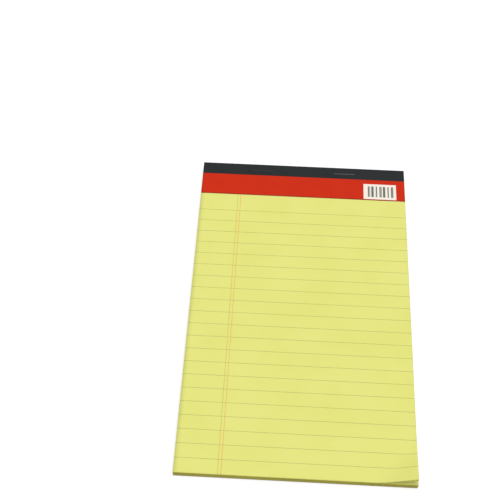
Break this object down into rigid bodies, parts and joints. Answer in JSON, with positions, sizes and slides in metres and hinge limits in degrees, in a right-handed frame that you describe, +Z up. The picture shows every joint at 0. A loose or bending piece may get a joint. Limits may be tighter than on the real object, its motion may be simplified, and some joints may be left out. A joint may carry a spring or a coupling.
{
  "type": "legal pad",
  "caption": "Junior legal pad lying flat: yellow ruled sheets on a chipboard back, stapled under a folded printed strip at the head, with a corner of the top sheets curled up.",
  "frame": {"origin": "centre of the pad's footprint, on the plane of its lowest face, the underside of the binding strip's back flap", "axes": "+Z up out of the top sheet, +Y towards the bound head, +X to the reader's right"},
  "size_m": [0.127, 0.2034, 0.0113],
  "materials": {
    "sheets": "uncoated yellow writing paper with printed lines",
    "board": "grey chipboard",
    "strip": "printed and lightly coated paper, dark at the fold and red below",
    "staple": "bright drawn wire"
  },
  "bodies": {
    "root": {"sheet_block": "sheets", "backing_board": "board", "binding_strip": "strip", "staple_left": "staple", "staple_right": "staple"}
  },
  "joints": []
}
